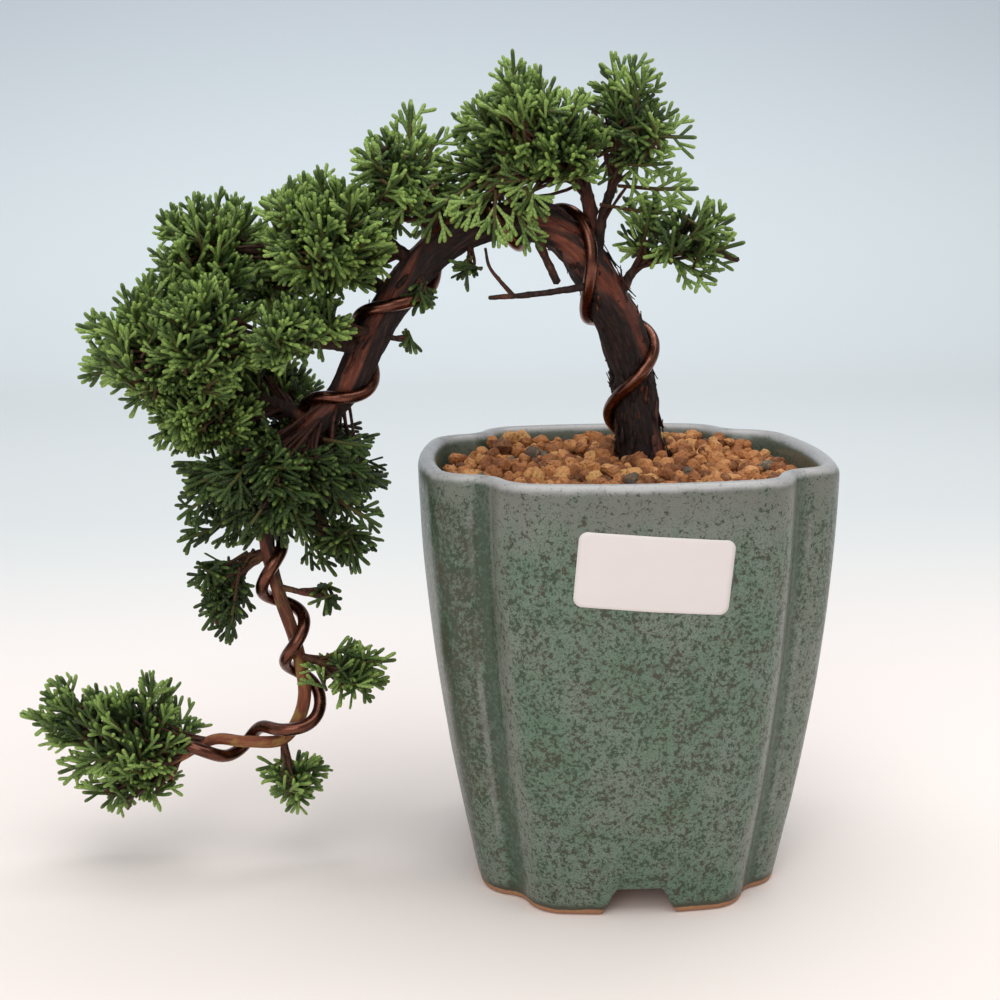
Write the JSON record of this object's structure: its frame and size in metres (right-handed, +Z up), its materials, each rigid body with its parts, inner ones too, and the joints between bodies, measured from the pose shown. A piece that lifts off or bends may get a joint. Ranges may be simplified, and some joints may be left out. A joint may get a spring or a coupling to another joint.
{
  "type": "bonsai tree in a pot",
  "caption": "Small juniper bonsai in semi-cascade style, its wired trunk arching over and hanging beside a square four-lobed glazed pot with gravel top dressing.",
  "frame": {"origin": "centre of the bounding box on the table plane, 59.3 mm to the left of the pot's own axis", "axes": "+Z up, +X from the hanging branch towards the pot, -Y the front with the label, square to the pot's front face"},
  "size_m": [0.2374, 0.1192, 0.235],
  "materials": {
    "glaze": "glossy speckled teal-green glaze, paler and greyer at the rim, bare tan clay under the feet",
    "screen_plastic": "matt black moulded mesh",
    "clip_wire": "brown anodised wire",
    "soil": "dark granular potting soil",
    "gravel": "matt orange-tan fired clay gravel with a few grey stones",
    "bark": "flaky dark bark with red-brown peeled patches",
    "training_wire": "glossy brown anodised aluminium wire",
    "label_paper": "smooth white sticker paper, blank",
    "foliage": "satin scale-leaf shoots, mid green with pale tips"
  },
  "bodies": {
    "root": {"pot": "glaze", "drain_mesh": "screen_plastic", "mesh_clip": "clip_wire", "potting_soil": "soil", "gravel_top_dressing": "gravel", "trunk": "bark", "training_wire": "training_wire", "paper_label": "label_paper", "crown_branch": "bark", "crown_right_branch": "bark", "right_branch": "bark", "arch_branch": "bark", "upper_left_branch": "bark", "rear_left_branch": "bark", "front_left_branch": "bark", "front_spur": "bark", "low_left_branch": "bark", "hanging_branch": "bark", "inner_spur": "bark", "lower_spur": "bark", "elbow_branch": "bark", "elbow_twig": "bark", "bare_twig": "bark", "dead_stub": "bark", "underside_twig": "bark", "drooping_twig": "bark", "inner_arch_twig": "bark", "crown_pad": "foliage", "crown_right_pad": "foliage", "right_pad": "foliage", "arch_pad": "foliage", "upper_left_pad": "foliage", "rear_left_pad": "foliage", "front_left_pad": "foliage", "front_spur_pad": "foliage", "low_left_pad": "foliage", "hanging_pad": "foliage", "inner_pad": "foliage", "hanging_spray": "foliage", "lower_spur_pad": "foliage", "elbow_pad": "foliage", "below_elbow_pad": "foliage", "tail_pad": "foliage", "under_arch_pad": "foliage", "drooping_pad": "foliage", "inner_arch_pad": "foliage"}
  },
  "joints": []
}
